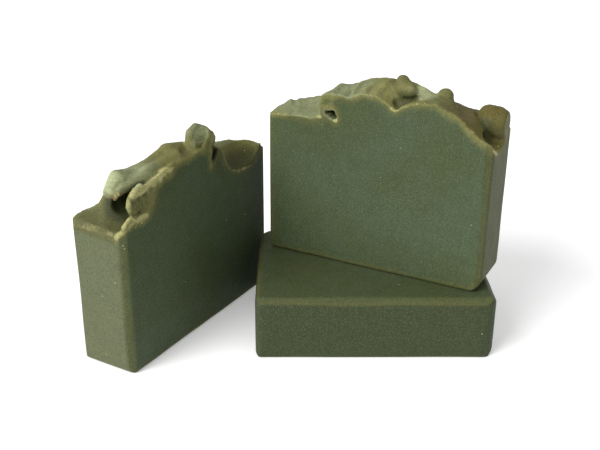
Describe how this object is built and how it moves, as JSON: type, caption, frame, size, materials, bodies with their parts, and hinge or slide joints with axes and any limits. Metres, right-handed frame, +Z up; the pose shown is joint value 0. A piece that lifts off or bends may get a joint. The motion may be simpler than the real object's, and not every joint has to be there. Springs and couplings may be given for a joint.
{
  "type": "soap bar set",
  "caption": "Hand-cut loaf soap bars with spooned tops: one lying flat, one standing on it, one standing beside them.",
  "frame": {"origin": "on the surface the set stands on, in the middle of the lying bar's underside", "axes": "+Z up; +X along the lying bar, from the standing bar's side to the free end; -Y is the front, the side that the standing bar's near end and the upper bar's wide cut face look towards"},
  "size_m": [0.1549, 0.0862, 0.0984],
  "materials": {
    "soap": "dull waxy olive green soap, a little yellower on its rims and spooned top"
  },
  "bodies": {
    "lying_bar": {"lying_bar": "soap"},
    "upper_bar": {"upper_bar": "soap"},
    "standing_bar": {"standing_bar": "soap"}
  },
  "joints": [
    {"name": "upper_bar_lift", "type": "slide", "parent": "lying_bar", "child": "upper_bar", "axis": [0, 0, 1], "range_m": [0, 0.12]},
    {"name": "standing_bar_lift", "type": "slide", "parent": "lying_bar", "child": "standing_bar", "axis": [0, 0, 1], "range_m": [0, 0.12]}
  ]
}
